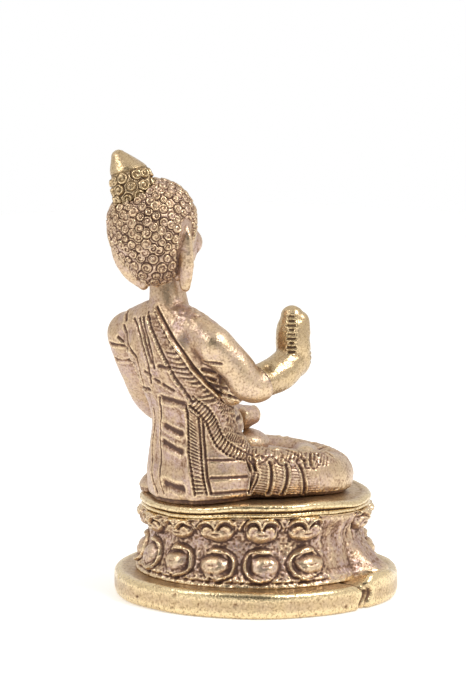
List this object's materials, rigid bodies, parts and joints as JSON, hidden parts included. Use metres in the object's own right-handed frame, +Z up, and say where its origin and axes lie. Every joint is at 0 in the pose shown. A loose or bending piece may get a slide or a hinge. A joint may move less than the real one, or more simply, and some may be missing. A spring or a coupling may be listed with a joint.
{
  "type": "buddha statue",
  "caption": "Small cast brass seated Buddha with raised open right hand, curled hair and crown knob, on a round double-lotus throne with a flat foot plate.",
  "frame": {"origin": "middle of the foot plate's flat underside, which rests on the table", "axes": "+Z up, the figure looks along -Y, its right hand is at -X and its back at +Y"},
  "size_m": [0.0484, 0.0524, 0.076],
  "materials": {
    "worn_brass": "cast brass, edges polished by handling",
    "cast_brass": "cast and chased brass with brown patina in the hollows",
    "rivet_brass": "drawn brass wire, hammered over"
  },
  "bodies": {
    "root": {"foot_plate": "worn_brass", "lotus_drum": "cast_brass", "seat_plate": "worn_brass", "body": "cast_brass", "head": "cast_brass", "ushnisha_jewel": "worn_brass", "right_forearm": "worn_brass", "left_hand": "cast_brass", "tie_rivet_right": "rivet_brass", "tie_rivet_left": "rivet_brass", "neck_dowel": "rivet_brass", "elbow_dowel": "rivet_brass"}
  },
  "joints": []
}
